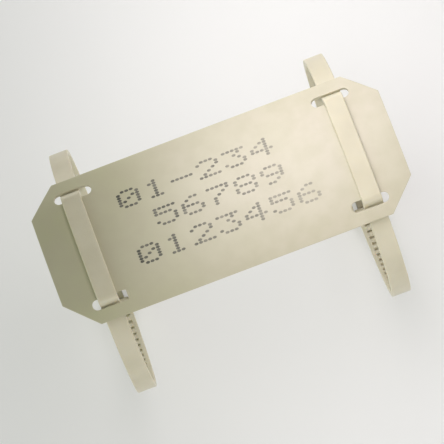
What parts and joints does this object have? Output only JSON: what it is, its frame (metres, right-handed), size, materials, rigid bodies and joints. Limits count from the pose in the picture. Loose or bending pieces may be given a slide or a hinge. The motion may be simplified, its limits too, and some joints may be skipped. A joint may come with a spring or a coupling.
{
  "type": "cable marker",
  "caption": "Eight-sided plastic marker plate with slots, bowed over a cable and held there by toothed nylon ties threaded through the slots.",
  "frame": {"origin": "on the axis of the cable that the marker is tied to, midway along the plate", "axes": "+X along the cable in the reading direction, +Y across it toward the top of the print, +Z out through the plate's crown"},
  "size_m": [0.046, 0.0324, 0.0371],
  "materials": {
    "marker_sheet": "ivory die-cut plastic sheet with a low sheen",
    "tie_nylon": "natural nylon moulding, slightly milky"
  },
  "bodies": {
    "root": {"marker_plate": "marker_sheet", "left_tie": "tie_nylon", "right_tie": "tie_nylon"}
  },
  "joints": []
}
